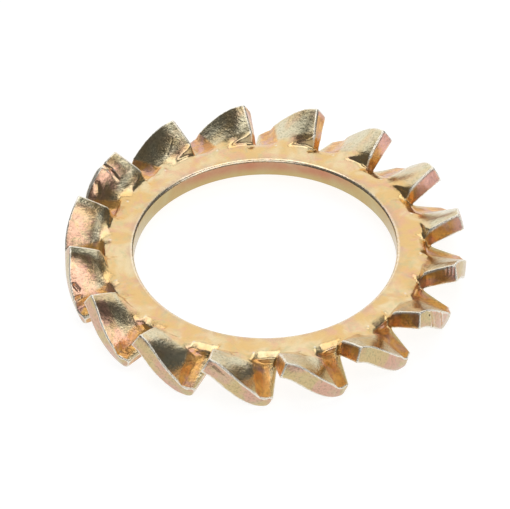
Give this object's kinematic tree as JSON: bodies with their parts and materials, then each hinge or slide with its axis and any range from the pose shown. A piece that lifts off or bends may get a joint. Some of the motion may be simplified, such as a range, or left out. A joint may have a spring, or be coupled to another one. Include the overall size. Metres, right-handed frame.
{
  "type": "toothed lock washer",
  "caption": "Flat steel ring with a plain bore and twisted teeth all round its outside, which bite into the nut and the surface to lock a bolted joint.",
  "frame": {"origin": "centre of the bore, half way through the ring's thickness", "axes": "+Z along the bore axis, up as the washer lies with the coined faces of its teeth on top; +X along the twist line of one tooth"},
  "size_m": [0.0198, 0.0198, 0.0027],
  "materials": {
    "zinc_plated_steel": "satin yellow chromate over zinc plating, iridescent"
  },
  "bodies": {
    "root": {"lock_washer": "zinc_plated_steel"}
  },
  "joints": []
}
